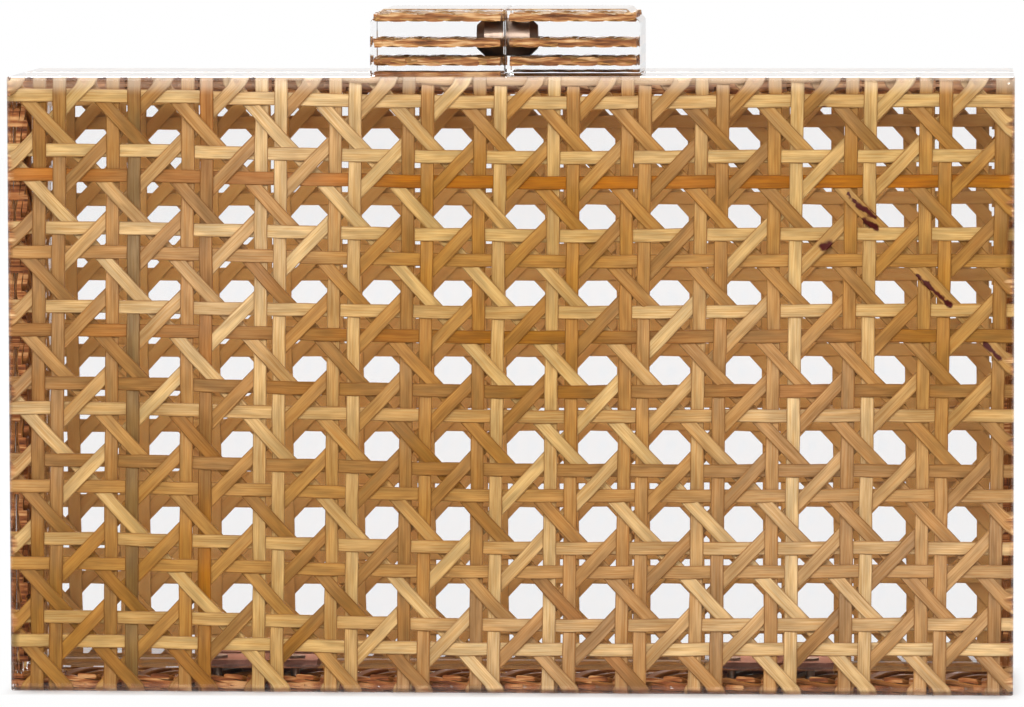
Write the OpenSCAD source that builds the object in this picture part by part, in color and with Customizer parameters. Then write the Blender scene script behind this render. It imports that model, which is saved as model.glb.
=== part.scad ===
// Evening clutch: a clear hard case with woven cane in its two faces.
// The front half swings forward on two hinges in the bottom seam, and two clasp blocks hold it shut.

/* [Case] */
// Width of the case, left to right
case_w = 178; // [170:1:190]
// Height of the case without its clasp
case_h = 109.3; // [103:0.1:115]
// Depth of the closed case, front to back
case_d = 46; // [42:1:56]
// Thickness of the top, bottom and side walls
wall_t = 4; // [3.8:0.2:5]
// Gap between the two halves along the seam
seam_gap = 0.3; // [0.2:0.05:0.5]
// Bevel on the outer edges of the front and back panels
edge_bevel = 0.8; // [0.4:0.1:1.2]

/* [Cane panels] */
// Thickness of the clear skin outside the cane
skin_t = 1.8; // [1.4:0.1:2.4]
// Thickness of the clear sheet inside the cane
backing_t = 1.8; // [1.4:0.1:2.4]
// Width of the clear rim around the cane
rim_w = 0.6; // [0.5:0.1:1.4]
// Spacing of the holes across a panel
pitch_x = 13.05; // [13:0.01:13.2]
// Spacing of the holes up a panel
pitch_z = 13.84; // [13.7:0.02:14]
// Width of a hole between two upright strands
hole_w = 7.2; // [6.8:0.1:7.6]
// Height of a hole between two level strands
hole_h = 7; // [6.8:0.1:7.6]
// Width of the upright and level strands
strand_w = 2.3; // [1.9:0.1:2.4]
// Width of the slanting strands
slant_w = 2.4; // [2.1:0.1:2.6]
// Thickness of the flat web between the ridges
web_t = 1; // [0.8:0.1:1.4]
// Height of a strand's ridge over the web
ridge_h = 0.6; // [0.3:0.1:0.8]
// How far the front weave's middle hole is right of the case's middle
front_shift_x = 2.8; // [2.4:0.05:3.2]
// How far the front weave's middle hole is above the case's middle
front_shift_z = 4.05; // [3.6:0.05:4.4]
// How far the back weave's middle hole is right of the case's middle
back_shift_x = 0.6; // [0.6:0.05:1]
// How far the back weave's middle hole is above the case's middle
back_shift_z = -1.15; // [-1.8:0.05:-0.8]

/* [Cane in the walls] */
// Thickness of a cane strip in a wall
strip_t = 1.8; // [1.4:0.1:2]
// Clear margin between a cane strip and the edges of its wall
strip_rim = 0.8; // [0.6:0.1:1.2]
// How far the bottom strip stays from the case's middle, to clear the hinges
strip_clear = 3; // [2.8:0.1:4]

/* [Clasp] */
// Width of the two clasp blocks together
clasp_w = 48; // [44:0.1:54]
// Height of the clasp blocks
clasp_h = 11.7; // [11.5:0.1:13]
// Depth of the clasp blocks, front to back
clasp_d = 24; // [18:0.5:28]
// How far the clasp's split is right of the case's middle
clasp_shift = -1.3; // [-3:0.1:3]
// Gap between the two blocks where they meet
clasp_gap = 0.3; // [0.2:0.05:0.5]
// Gap under the part of a block that hangs over the other half
lift_gap = 0.3; // [0.2:0.05:0.5]
// Bevel on the top outer corner of each block
clasp_bevel = 2.3; // [1.6:0.1:2.8]
// Clear wall around the cane layers in a block
layer_wall = 0.6; // [0.4:0.1:0.8]
// Thickness of a cane layer in a block
layer_t = 1.6; // [1.4:0.1:2]
// Thickness of the cane pad under a block, where it is glued to its half
foot_t = 0.5; // [0.4:0.1:0.7]
// Diameter of a magnet
magnet_d = 6.8; // [6:0.1:7.2]
// Length of a magnet with its coned end
magnet_l = 5.3; // [4.5:0.1:6]
// Length of the coned end of a magnet
magnet_cone = 1.4; // [1:0.1:1.8]
// Height of the magnets' middle over the case's top
magnet_z = 6.5; // [6:0.1:6.6]

/* [Hinges] */
// Width of a hinge, left to right
hinge_w = 22; // [20:0.5:26]
// Distance of each hinge's middle from the case's middle
hinge_x = 46; // [40:1:55]
// Reach of a leaf from the hinge's axis
leaf_reach = 12; // [10:0.5:13]
// Thickness of a leaf
leaf_t = 0.8; // [0.7:0.05:0.9]
// Diameter of the hinge barrel
barrel_d = 3.2; // [3.1:0.05:3.3]
// Diameter of the hinge pin
pin_d = 1.6; // [1.4:0.05:1.7]
// Running clearance around the pin in the front knuckle
pin_clearance = 0.04; // [0.02:0.01:0.08]
// Height of the hinge's axis over the bottom
axis_z = 2; // [1.95:0.05:2.1]
// Diameter of a screw's shank
screw_d = 1.6; // [1.2:0.1:1.8]
// Diameter of a screw's head
screw_head_d = 3; // [2.6:0.1:3.4]
// Length of a screw's shank, with the leaf it goes through
screw_l = 2.9; // [2.4:0.1:3.1]

/* [Hidden] */
$fn = 48;
// Layers of a half, counted back from its outer face
pocket_t = web_t + 2 * ridge_h;
panel_t = skin_t + pocket_t;
wall_start = panel_t + backing_t;
half_d = case_d / 2;
// Outline of the cane web inside the rim
cane_fit = 0.1;
web_w = case_w - 2 * (rim_w + cane_fit);
web_h = case_h - 2 * (rim_w + cane_fit);
pocket_w = case_w - 2 * rim_w;
// Cane strips in the middle of the walls
strip_start = wall_start + strip_rim - half_d;
strip_end = -seam_gap / 2 - strip_rim;
strip_low = (wall_t - strip_t) / 2;
strip_high = strip_low + strip_t;
strip_w = case_w - 2 * strip_rim;
hole_columns = 7;
hole_rows = 4;
// Eight corners of a hole: two uprights and two level strands with slanting strands across the corners
half_pitch_x = pitch_x / 2;
half_pitch_z = pitch_z / 2;
slant_run = half_pitch_x * half_pitch_z / norm([half_pitch_x, half_pitch_z]);
slant_share = (slant_run - slant_w / 2) / slant_run;
hole_side = half_pitch_z * (slant_share - hole_w / 2 / half_pitch_x);
hole_top = half_pitch_x * (slant_share - hole_h / 2 / half_pitch_z);
hole_points = [
    [hole_w / 2, -hole_side], [hole_w / 2, hole_side], [hole_top, hole_h / 2], [-hole_top, hole_h / 2],
    [-hole_w / 2, hole_side], [-hole_w / 2, -hole_side], [-hole_top, -hole_h / 2], [hole_top, -hole_h / 2]
];
strand_x = (hole_w + strand_w) / 2;
strand_z = (hole_h + strand_w) / 2;
// Clasp block, drawn from the split outwards to the left
block_end = -clasp_w / 2;
block_split = -clasp_gap / 2;
layer_shares = [0.2, 0.48, 0.87];
bevel_turn = 45;
half_turn = 180;
quarter_turn = 90;
magnet_clear = 0.5;
magnet_tip_share = 0.62;
// Hinge, drawn about its own axis at the case's middle
barrel_r = barrel_d / 2;
leaf_z = wall_t;
leaf_top = leaf_z + leaf_t;
knuckle_gap = 0.3;
knuckle_count = 3;
knuckle_l = (hinge_w - (knuckle_count - 1) * knuckle_gap) / knuckle_count;
knuckle_room = 0.5;
knuckle_notch = barrel_r + knuckle_room;
barrel_room = 0.3;
leaf_fit = 0.1;
screw_head_t = 0.4;
screw_fit = 0.05;
screw_depth = screw_l - leaf_t;
screw_y = 7.6;
screw_spread = 7;
FRONT_KNUCKLES = [1];
BACK_KNUCKLES = [0, knuckle_count - 1];
// Cutters reach this far past what they cut
over = 1;
ACRYLIC = [0.93, 0.94, 0.96, 0.35];
CANE = [0.80, 0.62, 0.38];
NICKEL = [0.72, 0.71, 0.69];
STEEL = [0.62, 0.62, 0.64];

// A box from its low corner to its high corner
module box(low, high) {
    translate(low) cube(high - low);
}

// An outline in Y and Z, run along X through the case's middle
module along_x(length) {
    rotate([quarter_turn, 0, quarter_turn]) linear_extrude(length, center = true) children();
}

// An outline in X and Z, run along Y from the given place
module along_y(start, length) {
    translate([0, start + length, 0]) rotate([quarter_turn, 0, 0]) linear_extrude(length) children();
}

// Puts a piece of the front half on the back half
module on_back() {
    mirror([0, 1, 0]) children();
}

// Clear outer sheet with bevelled outer edges and a pocket for the cane
module panel() {
    plan = [
        [-case_w / 2, panel_t - half_d], [-case_w / 2, edge_bevel - half_d],
        [edge_bevel - case_w / 2, -half_d], [case_w / 2 - edge_bevel, -half_d],
        [case_w / 2, edge_bevel - half_d], [case_w / 2, panel_t - half_d]
    ];
    profile = [
        [panel_t - half_d, 0], [panel_t - half_d, case_h], [edge_bevel - half_d, case_h],
        [-half_d, case_h - edge_bevel], [-half_d, edge_bevel], [edge_bevel - half_d, 0]
    ];
    difference() {
        intersection() {
            linear_extrude(case_h) polygon(plan);
            along_x(case_w) polygon(profile);
        }
        box([-pocket_w / 2, skin_t - half_d, rim_w],
            [pocket_w / 2, panel_t + over - half_d, case_h - rim_w]);
    }
}

// Clear inner sheet that closes the pocket
module backing() {
    box([-case_w / 2, panel_t - half_d, 0], [case_w / 2, wall_start - half_d, case_h]);
}

// Outline of the cane web with its eight-sided holes
module web_outline(shift_x, shift_z) {
    difference() {
        translate([-web_w / 2, (case_h - web_h) / 2]) square([web_w, web_h]);
        for (column = [-hole_columns:hole_columns], row = [-hole_rows:hole_rows])
            translate([shift_x + column * pitch_x, case_h / 2 + shift_z + row * pitch_z])
                polygon(hole_points);
    }
}

// Upright strands that stay inside the web
module upright_strands(shift_x) {
    room = (web_w - strand_w) / 2;
    for (column = [-hole_columns:hole_columns], way = [-1, 1]) {
        x = shift_x + column * pitch_x + way * strand_x;
        if (abs(x) < room)
            translate([x - strand_w / 2, (case_h - web_h) / 2]) square([strand_w, web_h]);
    }
}

// Level strands that stay inside the web
module level_strands(shift_z) {
    room = (web_h - strand_w) / 2;
    for (row = [-hole_rows:hole_rows], way = [-1, 1]) {
        z = shift_z + row * pitch_z + way * strand_z;
        if (abs(z) < room)
            translate([-web_w / 2, case_h / 2 + z - strand_w / 2]) square([web_w, strand_w]);
    }
}

// Woven cane: upright ridges outside, level ridges inside and the holed web between them
module cane(shift_x, shift_z) {
    outer = skin_t - half_d;
    along_y(outer + ridge_h, web_t) web_outline(shift_x, shift_z);
    along_y(outer, ridge_h) upright_strands(shift_x);
    along_y(outer + ridge_h + web_t, ridge_h) level_strands(shift_z);
}

// Cane strip in the top wall
module top_cane() {
    box([-strip_w / 2, strip_start, case_h - strip_high], [strip_w / 2, strip_end, case_h - strip_low]);
}

// Slot for the cane strip in the bottom wall
module bottom_slot() {
    box([-strip_w / 2, strip_start, strip_low], [strip_w / 2, -strip_clear, strip_high]);
}

// Cane strip in the bottom wall, with holes for the hinge screws
module bottom_cane() {
    difference() {
        bottom_slot();
        for (way = [-1, 1])
            translate([way * hinge_x, 0, 0]) at_screws()
                translate([0, 0, -leaf_z]) cylinder(d = screw_d + 2 * screw_fit, h = leaf_z);
    }
}

// Cane strip in the left wall
module left_cane() {
    low_z = wall_t + strip_rim;
    box([strip_low - case_w / 2, strip_start, low_z], [strip_high - case_w / 2, strip_end, case_h - low_z]);
}

// Cane strips of the four walls of a half
module wall_cane() {
    top_cane();
    bottom_cane();
    left_cane();
    mirror([1, 0, 0]) left_cane();
}

// Top wall of a half
module top_wall() {
    difference() {
        box([-case_w / 2, wall_start - half_d, case_h - wall_t], [case_w / 2, -seam_gap / 2, case_h]);
        top_cane();
    }
}

// Left wall of a half, between the top and bottom walls
module left_wall() {
    difference() {
        box([-case_w / 2, wall_start - half_d, wall_t],
            [wall_t - case_w / 2, -seam_gap / 2, case_h - wall_t]);
        left_cane();
    }
}

// Right wall of a half
module right_wall() {
    mirror([1, 0, 0]) left_wall();
}

// Bottom wall of a half, with a bevelled seam edge and seats for the two hinges
module bottom_wall() {
    bevel = [
        [over, axis_z], [-seam_gap / 2, axis_z], [-seam_gap / 2 - axis_z - over, -over], [over, -over]
    ];
    difference() {
        box([-case_w / 2, wall_start - half_d, 0], [case_w / 2, -seam_gap / 2, wall_t]);
        along_x(case_w + over) polygon(bevel);
        bottom_slot();
        for (way = [-1, 1])
            translate([way * hinge_x, 0, 0]) hinge_seat();
    }
}

// Room for the barrel, its tongues and the screws of one leaf
module hinge_seat() {
    room_w = hinge_w / 2 + barrel_room;
    bore_l = screw_depth + screw_fit;
    box([-room_w, -barrel_r - leaf_fit, axis_z], [room_w, over, wall_t + over]);
    translate([-room_w, 0, axis_z])
        rotate([0, quarter_turn, 0]) cylinder(d = barrel_d + 2 * barrel_room, h = 2 * room_w);
    at_screws() translate([0, 0, -bore_l]) cylinder(d = screw_d, h = bore_l + over);
}

// The screws of one leaf, from the underside of the leaf
module at_screws() {
    for (way = [-1, 1])
        translate([way * screw_spread, -screw_y, leaf_z]) children();
}

// One cranked leaf on the inside of the bottom wall with its own knuckles, on the front side of the axis
module leaf(knuckles, bore_d) {
    difference() {
        union() {
            box([-hinge_w / 2, -leaf_reach, leaf_z], [hinge_w / 2, -knuckle_notch, leaf_top]);
            for (place = knuckles)
                translate([place * (knuckle_l + knuckle_gap) - hinge_w / 2, 0, 0]) knuckle();
        }
        translate([-hinge_w, 0, axis_z]) rotate([0, quarter_turn, 0]) cylinder(d = bore_d, h = 2 * hinge_w);
        at_screws() translate([0, 0, -over]) cylinder(d = screw_d + 2 * screw_fit, h = leaf_t + 2 * over);
    }
}

// One knuckle of the barrel and the tongue that goes up from it to its leaf
module knuckle() {
    tongue_y = leaf_t - barrel_r;
    translate([0, 0, axis_z]) rotate([0, quarter_turn, 0]) cylinder(d = barrel_d, h = knuckle_l);
    box([0, -barrel_r, axis_z], [knuckle_l, tongue_y, leaf_top]);
    box([0, -knuckle_notch - leaf_fit, leaf_z], [knuckle_l, tongue_y, leaf_top]);
}

// Front leaf with the middle knuckle, which runs on the pin
module front_leaf() {
    leaf(FRONT_KNUCKLES, pin_d + 2 * pin_clearance);
}

// Back leaf with the two outer knuckles, which hold the pin
module back_leaf() {
    on_back() leaf(BACK_KNUCKLES, pin_d);
}

// Pin of one hinge
module hinge_pin() {
    translate([-hinge_w / 2, 0, axis_z]) rotate([0, quarter_turn, 0]) cylinder(d = pin_d, h = hinge_w);
}

// The four screws that hold a half's two leaves
module screws() {
    for (way = [-1, 1])
        translate([way * hinge_x, 0, 0]) at_screws() screw();
}

// One low-headed screw, head up
module screw() {
    translate([0, 0, leaf_t]) cylinder(d = screw_head_d, h = screw_head_t);
    translate([0, 0, -screw_depth]) cylinder(d = screw_d, h = screw_l);
}

// Outline of a clasp block, or of the space inside it at the given inset
module block_outline(inset) {
    corner = clasp_bevel + inset * tan(bevel_turn / 2);
    polygon([
        [block_end + inset, inset], [block_split - inset, inset], [block_split - inset, clasp_h - inset],
        [block_end + corner, clasp_h - inset], [block_end + inset, clasp_h - corner]
    ]);
}

// Cane pad under the part of a block that sits on its own half, from the given height
module clasp_foot(low_z) {
    box([block_end + layer_wall, layer_wall - clasp_d / 2, low_z],
        [block_split - layer_wall, -seam_gap / 2 - layer_wall, foot_t]);
}

// Cane layers of one block, kept clear of its magnet
module clasp_layers() {
    depth = clasp_d - 2 * layer_wall;
    difference() {
        intersection() {
            along_y(-depth / 2, depth) block_outline(layer_wall);
            for (share = layer_shares)
                translate([block_end, -clasp_d / 2, share * clasp_h - layer_t / 2])
                    cube([clasp_w / 2, clasp_d, layer_t]);
        }
        magnet_shape(magnet_clear);
    }
}

// A magnet with a coned end, grown all round by the given room
module magnet_shape(room) {
    straight = magnet_l - magnet_cone + room;
    body_d = magnet_d + 2 * room;
    tip_d = magnet_d * magnet_tip_share + 2 * room;
    translate([block_split, 0, magnet_z]) rotate([0, -quarter_turn, 0]) {
        cylinder(d = body_d, h = straight);
        translate([0, 0, straight]) cylinder(d1 = body_d, d2 = tip_d, h = magnet_cone);
    }
}

// Clear block with its cane slots, its magnet bore and the lifted part over the other half
module clasp_block() {
    difference() {
        along_y(-clasp_d / 2, clasp_d) block_outline(0);
        box([block_end - over, -seam_gap / 2, -over], [over, clasp_d, lift_gap]);
        clasp_layers();
        clasp_foot(-over);
        magnet_shape(0);
        translate([block_split, 0, magnet_z]) rotate([0, quarter_turn, 0]) cylinder(d = magnet_d, h = over);
    }
}

// All the cane of one block
module clasp_cane() {
    clasp_layers();
    clasp_foot(0);
}

// Puts a clasp piece at its place on top of the case
module on_top(turn) {
    translate([clasp_shift, 0, case_h]) rotate([0, 0, turn]) children();
}

module front_panel() { color(ACRYLIC) panel(); }
module front_cane() { color(CANE) cane(front_shift_x, front_shift_z); }
module front_backing() { color(ACRYLIC) backing(); }
module front_top_wall() { color(ACRYLIC) top_wall(); }
module front_bottom_wall() { color(ACRYLIC) bottom_wall(); }
module front_left_wall() { color(ACRYLIC) left_wall(); }
module front_right_wall() { color(ACRYLIC) right_wall(); }
module front_wall_cane() { color(CANE) wall_cane(); }
module left_clasp_block() { color(ACRYLIC) on_top(0) clasp_block(); }
module left_clasp_cane() { color(CANE) on_top(0) clasp_cane(); }
module left_magnet() { color(NICKEL) on_top(0) magnet_shape(0); }
module left_front_leaf() { color(STEEL) translate([-hinge_x, 0, 0]) front_leaf(); }
module right_front_leaf() { color(STEEL) translate([hinge_x, 0, 0]) front_leaf(); }
module front_screws() { color(STEEL) screws(); }
module back_panel() { color(ACRYLIC) on_back() panel(); }
module back_cane() { color(CANE) on_back() cane(back_shift_x, back_shift_z); }
module back_backing() { color(ACRYLIC) on_back() backing(); }
module back_top_wall() { color(ACRYLIC) on_back() top_wall(); }
module back_bottom_wall() { color(ACRYLIC) on_back() bottom_wall(); }
module back_left_wall() { color(ACRYLIC) on_back() left_wall(); }
module back_right_wall() { color(ACRYLIC) on_back() right_wall(); }
module back_wall_cane() { color(CANE) on_back() wall_cane(); }
module right_clasp_block() { color(ACRYLIC) on_top(half_turn) clasp_block(); }
module right_clasp_cane() { color(CANE) on_top(half_turn) clasp_cane(); }
module right_magnet() { color(NICKEL) on_top(half_turn) magnet_shape(0); }
module left_back_leaf() { color(STEEL) translate([-hinge_x, 0, 0]) back_leaf(); }
module right_back_leaf() { color(STEEL) translate([hinge_x, 0, 0]) back_leaf(); }
module left_hinge_pin() { color(STEEL) translate([-hinge_x, 0, 0]) hinge_pin(); }
module right_hinge_pin() { color(STEEL) translate([hinge_x, 0, 0]) hinge_pin(); }
module back_screws() { color(STEEL) on_back() screws(); }

front_panel();
front_cane();
front_backing();
front_top_wall();
front_bottom_wall();
front_left_wall();
front_right_wall();
front_wall_cane();
left_clasp_block();
left_clasp_cane();
left_magnet();
left_front_leaf();
right_front_leaf();
front_screws();
back_panel();
back_cane();
back_backing();
back_top_wall();
back_bottom_wall();
back_left_wall();
back_right_wall();
back_wall_cane();
right_clasp_block();
right_clasp_cane();
right_magnet();
left_back_leaf();
right_back_leaf();
left_hinge_pin();
right_hinge_pin();
back_screws();
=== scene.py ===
"""Evening clutch: a clear hard case with woven cane in its two faces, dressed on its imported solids."""

import math
import random

import bmesh
import bpy
from mathutils import Matrix, Vector


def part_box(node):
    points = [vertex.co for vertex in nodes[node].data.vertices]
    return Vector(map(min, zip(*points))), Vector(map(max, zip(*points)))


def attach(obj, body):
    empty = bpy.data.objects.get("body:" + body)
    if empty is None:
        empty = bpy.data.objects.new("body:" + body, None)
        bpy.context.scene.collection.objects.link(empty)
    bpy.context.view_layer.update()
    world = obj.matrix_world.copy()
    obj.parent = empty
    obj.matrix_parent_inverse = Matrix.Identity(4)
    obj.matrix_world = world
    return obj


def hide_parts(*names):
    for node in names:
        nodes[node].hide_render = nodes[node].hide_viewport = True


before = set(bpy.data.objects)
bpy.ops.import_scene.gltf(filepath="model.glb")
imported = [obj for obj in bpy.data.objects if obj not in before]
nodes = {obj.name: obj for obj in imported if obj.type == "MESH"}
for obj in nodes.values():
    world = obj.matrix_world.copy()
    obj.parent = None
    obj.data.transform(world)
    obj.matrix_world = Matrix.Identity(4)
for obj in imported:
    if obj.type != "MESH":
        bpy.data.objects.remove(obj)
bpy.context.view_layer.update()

# Sizes of the case, taken from its solids, in metres
MM = 0.001
PANEL_LOW, PANEL_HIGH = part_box("front_panel")
BACKING_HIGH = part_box("front_backing")[1]
WALL_LOW, WALL_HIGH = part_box("front_left_wall")
LEAF_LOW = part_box("left_front_leaf")[0]
PIN_LOW, PIN_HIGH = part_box("left_hinge_pin")
CASE_W = PANEL_HIGH.x - PANEL_LOW.x
CASE_H = PANEL_HIGH.z
HALF_D = -PANEL_LOW.y
INNER_Y = -BACKING_HIGH.y
WALL_T = WALL_HIGH.x - WALL_LOW.x
SEAM_Y = -WALL_HIGH.y
AXIS_Z = (PIN_LOW.z + PIN_HIGH.z) / 2
BARREL_R = AXIS_Z - LEAF_LOW.z
HINGE_X = -(PIN_LOW.x + PIN_HIGH.x) / 2
HINGE_W = PIN_HIGH.x - PIN_LOW.x
TONGUE_FIT = 0.1 * MM
BARREL_FIT = 0.3 * MM
EDGE_ROUND = 1.5 * MM
EDGE_STEPS = 8
SMALL_EDGE_SHARE = 0.25
NEAR = 0.1 * MM

# Sizes of the weave
PITCH_X = 13.05 * MM
PITCH_Z = 13.84 * MM
STRAND_X = 4.8 * MM
STRAND_Z = 4.72 * MM
STRAND_W = 2.35 * MM
STRAND_T = 0.6 * MM
SLANT_GIRTH = 1.12
WAVE_H = 0.7 * MM
STRAIGHT_WAVE = 0.6
STRAND_STEP = 1.0 * MM
STRAND_REACH = 220 * MM
STRAND_SIDES = 8
RING_RANGE = (0.38, 0.92)
RING_WIDE = 0.84
RING_TALL = 0.5
STRAND_SWAY = 0.5 * MM
SWAY_SCALE = 70.0
SHARP_BEND = 0.42
STRAIGHT_JITTER = 0.1 * MM
SLANT_JITTER = 0.08 * MM
UPRIGHT_LEAN = 0.002
OTHER_LEAN = 0.0015
GIRTH_SPREAD = (0.93, 1.07)
SLANT_SPREAD = (0.94, 1.06)
HOLE_STAGGER = 6
TRIM = Vector((3 * MM, 3 * MM, 0))
END_DEPTH = 0.15 * MM
END_MIX = 997
STRIP_RIM = 0.8 * MM
STRIP_CLEAR = 3.0 * MM
STRIP_STRAND_T = 0.85 * MM
STRIP_WAVE = 1.2
STRIP_DROP = 0.4 * MM
CLASP_SCALE = 0.5
CLASP_STRAND_T = 0.8 * MM
CLASP_WAVE = 0.6
FOOT_T = 0.5 * MM
FOOT_WAVE = 0.1
FOOT_STRAND_T = 0.35 * MM
CLASP_BEVEL = 2.3 * MM
CLASP_ROUND = 0.3 * MM
CLASP_ROUND_STEPS = 2
CLASP_LIFT = 0.3 * MM
MAGNET_COVER = 0.02 * MM
MAGNET_ROOM = 0.4 * MM
CLASP_LAYERS = (0.2, 0.48, 0.87)
FRONT_SHIFT = (2.8 * MM, 4.05 * MM)
BACK_SHIFT = (0.6 * MM, -1.15 * MM)
# How the webs were pulled askew when they were stretched: lean of the uprights, slope of the levels
FRONT_SKEW = (0.012, -0.0054)
BACK_SKEW = (0.0076, -0.0036)
# Long bow of the front web: sideways and up, each with its reach, its wave and where the wave starts
BOW_SIDE = (-0.3 * MM, 145 * MM, 26 * MM)
BOW_UP = (-0.4 * MM, 165 * MM, 0.0)
SEED = 11


def srgb(red, green, blue):
    """A colour given as screen values from 0 to 255, made linear."""
    shares = [value / 255 for value in (red, green, blue)]
    return tuple(s / 12.92 if s <= 0.04045 else ((s + 0.055) / 1.055) ** 2.4 for s in shares) + (1,)


# Helpers for node trees
def put(tree, kind, inputs=None, **settings):
    """Adds a node, sets it up, and fills or links its inputs by name or number."""
    node = tree.nodes.new(kind)
    for key, value in settings.items():
        setattr(node, key, value)
    for key, value in (inputs or {}).items():
        socket = node.inputs[key]
        if isinstance(value, bpy.types.NodeSocket):
            tree.links.new(value, socket)
        else:
            socket.default_value = value
    return node


def sum_of(tree, operation, first, second=0.0, third=0.0):
    """One step of arithmetic."""
    return put(tree, "ShaderNodeMath", {0: first, 1: second, 2: third}, operation=operation).outputs[0]


def vector_of(tree, operation, first, second=(0, 0, 0)):
    """One step of vector arithmetic."""
    node = put(tree, "ShaderNodeVectorMath", {0: first, 1: second}, operation=operation)
    return node.outputs["Value"] if operation in ("DOT_PRODUCT", "DISTANCE") else node.outputs[0]


def blend_of(tree, share, first, second, blend_type="MIX"):
    """Two colours mixed by a share."""
    wanted = {0: share, 6: first, 7: second}
    return put(tree, "ShaderNodeMix", wanted, data_type="RGBA", blend_type=blend_type).outputs[2]


def spread_of(tree, value, low, high, to_low=0.0, to_high=1.0, smooth=True):
    """A value carried from one range to another."""
    kind = "SMOOTHSTEP" if smooth else "LINEAR"
    wanted = {"Value": value, "From Min": low, "From Max": high, "To Min": to_low, "To Max": to_high}
    return put(tree, "ShaderNodeMapRange", wanted, interpolation_type=kind).outputs["Result"]


def noise_of(tree, place, scale, detail=2.0, roughness=0.5):
    """A soft random value over the given place."""
    wanted = {"Vector": place, "Scale": scale, "Detail": detail, "Roughness": roughness}
    return put(tree, "ShaderNodeTexNoise", wanted)


def named_value(tree, name):
    """A strand's own value, read in a shader."""
    return put(tree, "ShaderNodeAttribute", attribute_name=name).outputs["Fac"]


def colour_steps(tree, value, steps):
    """A colour picked along a row of named places."""
    node = put(tree, "ShaderNodeValToRGB", {"Fac": value})
    ramp = node.color_ramp
    while len(ramp.elements) < len(steps):
        ramp.elements.new(0.5)
    for element, (place, colour) in zip(ramp.elements, steps):
        element.position = place
        element.color = colour
    return node.outputs["Color"]


def new_material(name):
    """An empty node material and its output."""
    material = bpy.data.materials.new(name)
    material.use_nodes = True
    tree = material.node_tree
    tree.nodes.clear()
    return material, tree, put(tree, "ShaderNodeOutputMaterial")


# Colours, scales and shares of the materials
# Painted shade along the lowest edge of the clear sheet: its height, its colour and its share
LOW_SHADE_H = 1.2 * MM
LOW_SHADE = srgb(82, 55, 38)
LOW_SHADE_SHARE = 0.9
# Painted highlight: the cane is painted paler near the case's top, over this height, towards this colour
# and up to this share
TOP_HIGHLIGHT_H = 3.4 * MM
TOP_HIGHLIGHT_SHARE = 0.5
TOP_HIGHLIGHT = srgb(242, 224, 200)
RIM_HAZE = 0.35
SHEET_IOR = 1.49
SHEET_ROUGH = (0.0, 0.025)
SHEET_SCALE = 14.0
SHEET_TINTS = ((0.998, 0.994, 0.997, 1), (0.993, 0.994, 0.998, 1))
SHEET_SHADOW = (0.985, 0.98, 0.985, 1)
SMUDGE_SCALE = 45.0
SCRATCH_TURN = (0.3, 0.5, 0.7)
SCRATCH_SCALE = (900, 40, 700)
SCRATCH_SHARE = 0.6
TONE_MIX = 53.0
DRIFT_SCALE = 32.0
DRIFT_SHARE = 0.4
AGE_SCALE = 17.0
SPOT_SCALE = 150.0
GRAIN_SCALE = (120.0, 8.0)
FIBRE_DARK = srgb(234, 216, 190)
# Painted shade along the edges of each strand, where strands overlap: its colour and its share
STRAND_EDGE_SHADE = srgb(122, 74, 32)
EDGE_SHARE = 0.55
PITH_COLOURS = (srgb(228, 160, 82), srgb(250, 206, 126))
END_SCALE = (160, 160, 1500)
MARK_RAGGED = (900.0, -0.66 * MM, 0.54 * MM)
MARK_CORE = 0.3
MARK_COLOUR = srgb(66, 10, 2)
GRAIN_BUMP = (0.15, 0.15 * MM)
CANE_SHEEN = 0.12
THROUGH_TINT = srgb(255, 214, 170)
PLATE_SCALE = 320.0
PLATE_BUMP = (0.08, 0.1 * MM)
PLATE_TINT = (0.5, 0.4, 0.36, 1)


def marks_group():
    """Fine rubbing marks and finger smudges that handled clear and plated surfaces share."""
    tree = bpy.data.node_groups.new("handling marks", "ShaderNodeTree")
    face = tree.interface
    face.new_socket("Smooth", in_out="INPUT", socket_type="NodeSocketFloat")
    face.new_socket("Rubbed", in_out="INPUT", socket_type="NodeSocketFloat")
    face.new_socket("Roughness", in_out="OUTPUT", socket_type="NodeSocketFloat")
    face.new_socket("Height", in_out="OUTPUT", socket_type="NodeSocketFloat")
    entry = put(tree, "NodeGroupInput")
    place = put(tree, "ShaderNodeTexCoord").outputs["Object"]
    smudge = noise_of(tree, place, SMUDGE_SCALE, 3.0).outputs["Fac"]
    turned = put(tree, "ShaderNodeMapping", {
        "Vector": place,
        "Rotation": SCRATCH_TURN,
        "Scale": SCRATCH_SCALE,
    })
    scratch = noise_of(tree, turned.outputs["Vector"], 1.0, 2.0).outputs["Fac"]
    patch = spread_of(tree, smudge, 0.56, 0.76)
    line = spread_of(tree, scratch, 0.66, 0.74)
    worn = sum_of(tree, "MULTIPLY_ADD", line, SCRATCH_SHARE, patch)
    step = sum_of(tree, "SUBTRACT", entry.outputs["Rubbed"], entry.outputs["Smooth"])
    rough = sum_of(tree, "MULTIPLY_ADD", worn, step, entry.outputs["Smooth"])
    put(tree, "NodeGroupOutput", {"Roughness": rough, "Height": worn})
    return tree


def add_marks(tree, group, smooth, rubbed):
    """Places the shared marks in a material with that material's own values."""
    node = put(tree, "ShaderNodeGroup", node_tree=group)
    node.inputs["Smooth"].default_value = smooth
    node.inputs["Rubbed"].default_value = rubbed
    return node


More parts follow.
